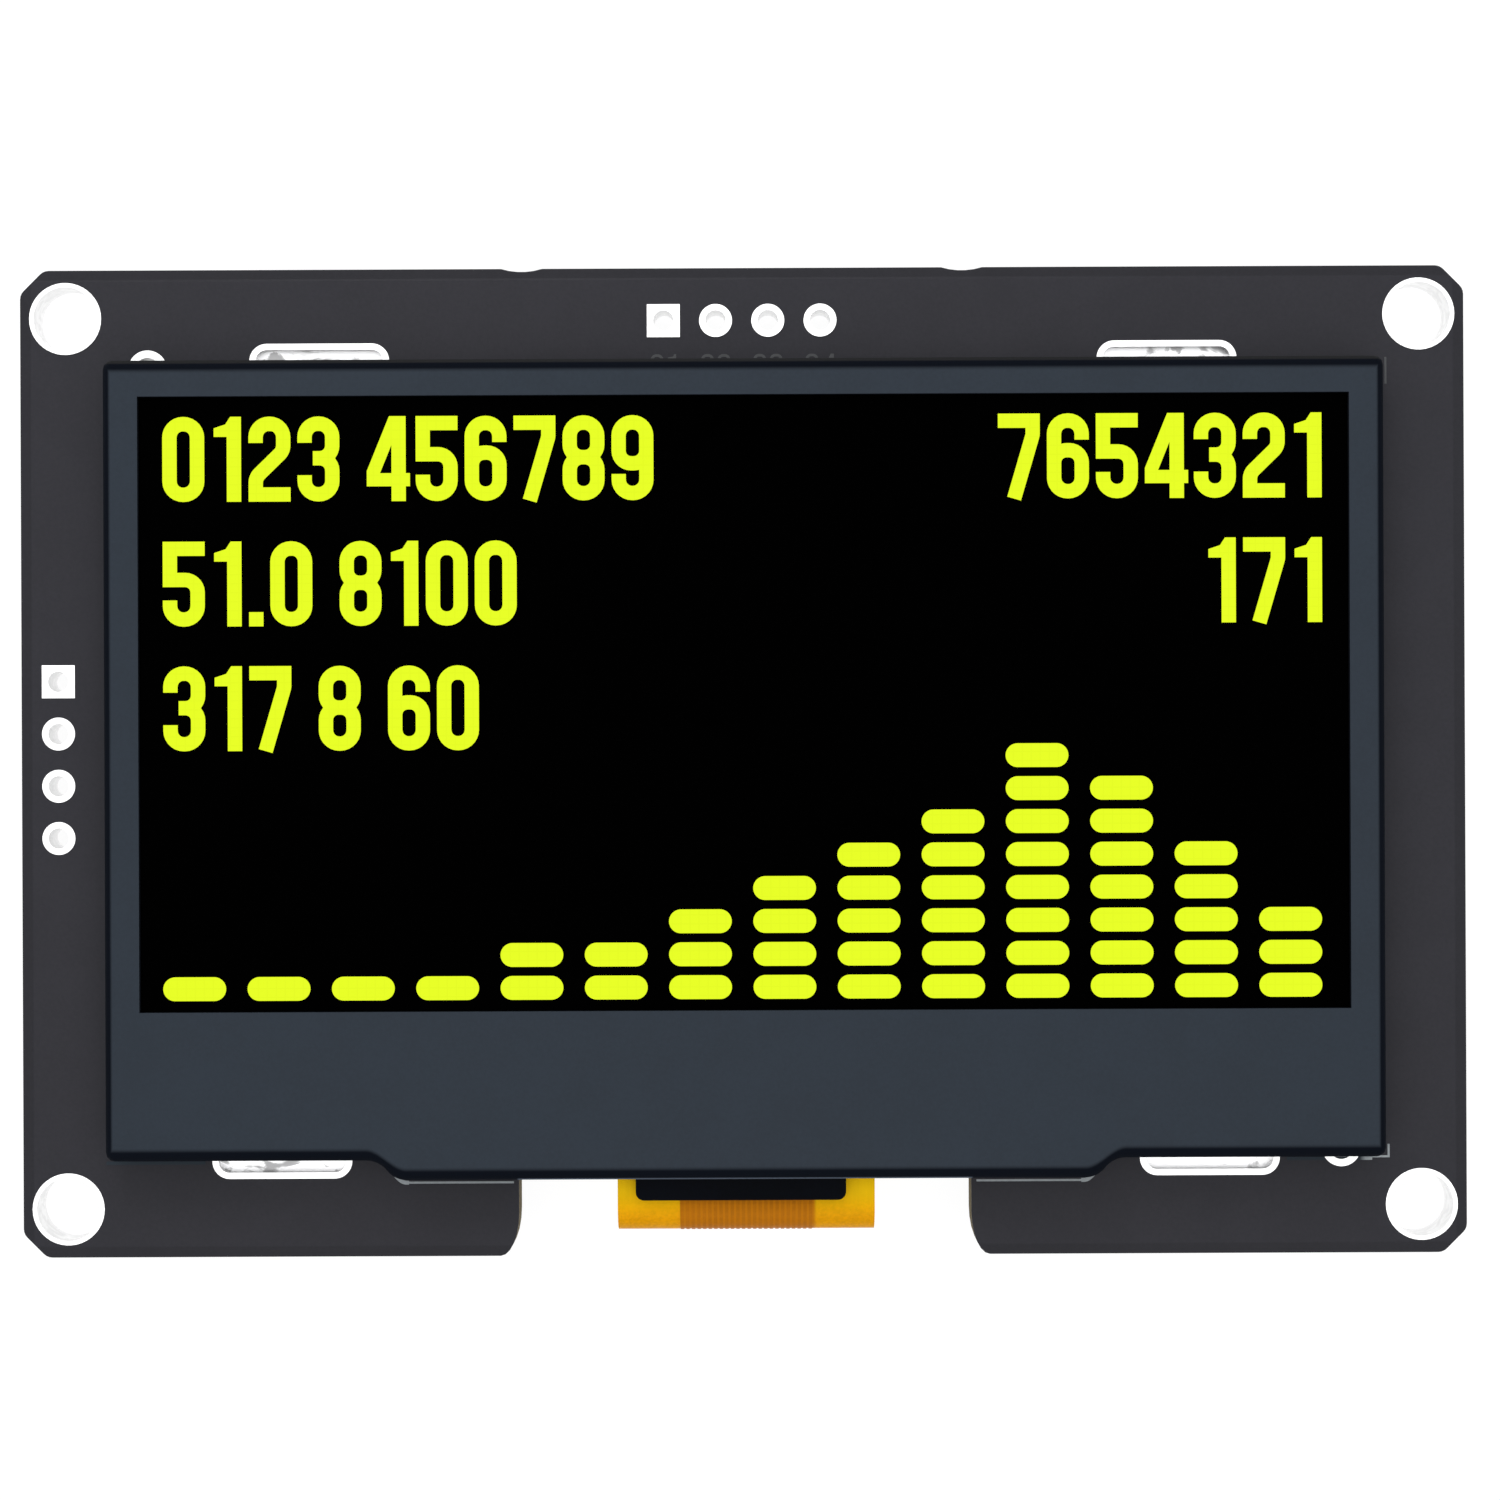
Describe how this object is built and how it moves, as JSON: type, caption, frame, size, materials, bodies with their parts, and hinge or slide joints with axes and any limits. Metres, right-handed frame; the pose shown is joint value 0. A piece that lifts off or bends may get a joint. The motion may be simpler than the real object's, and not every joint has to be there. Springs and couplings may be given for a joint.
{
  "type": "small oled module",
  "caption": "Small monochrome graphic display on a carrier board: framed glass panel, folded flex tail, header pads and corner mounting holes.",
  "frame": {"origin": "centre of the four mounting holes, on the board's back face", "axes": "+X to the right and +Y up as the display is read, +Z towards the viewer"},
  "size_m": [0.0702, 0.048, 0.0063],
  "materials": {
    "solder_mask": "black solder mask, satin",
    "tinned_copper": "bright hot-tinned copper",
    "bezel_paint": "black satin paint on stamped steel",
    "solder": "dull bright solder",
    "adhesive_tape": "foam tape, matt",
    "glass": "cut float glass",
    "desiccant": "drying sheet, matt",
    "seal_resin": "cured sealing resin",
    "organic_film": "vapour-deposited film",
    "polarizer_film": "black polarizing film, gloss",
    "lit_pixels": "emissive",
    "flex_film": "polyimide film, satin",
    "flex_copper": "copper traces under cover film",
    "silicon": "polished silicon",
    "black_resin": "black potting resin, satin",
    "package_black": "black moulding compound",
    "ferrite": "sintered ferrite, matt",
    "enamelled_wire": "enamelled copper wire",
    "capacitor_ceramic": "fired ceramic, satin",
    "resistor_ceramic": "fired alumina, matt",
    "resistor_glaze": "black overglaze"
  },
  "bodies": {
    "root": {"printed_circuit_board": "solder_mask", "mounting_hole_rings": "tinned_copper", "header_pads_top": "tinned_copper", "header_pads_left": "tinned_copper", "frame_slot_lands": "tinned_copper", "locating_hole_lands": "tinned_copper", "display_bezel": "bezel_paint", "lug_solder": "solder", "mounting_tape": "adhesive_tape", "encapsulation_glass": "glass", "desiccant_sheet": "desiccant", "edge_seal": "seal_resin", "organic_layer": "organic_film", "display_glass": "glass", "polarizer": "polarizer_film", "lit_segments": "lit_pixels", "flex_film": "flex_film", "flex_traces": "flex_copper", "flex_fingers": "tinned_copper", "driver_die": "silicon", "driver_resin": "black_resin", "flex_lands": "tinned_copper", "flex_solder": "solder", "inductor_core": "ferrite", "inductor_winding": "enamelled_wire", "inductor_terminals": "tinned_copper", "converter_body": "package_black", "converter_leads": "tinned_copper", "regulator_body": "package_black", "regulator_leads": "tinned_copper", "diode_body": "package_black", "diode_leads": "tinned_copper", "capacitor_bodies": "capacitor_ceramic", "capacitor_terminals": "tinned_copper", "resistor_bodies": "resistor_ceramic", "resistor_coats": "resistor_glaze", "resistor_terminals": "tinned_copper", "component_lands": "tinned_copper", "component_solder": "solder"}
  },
  "joints": []
}
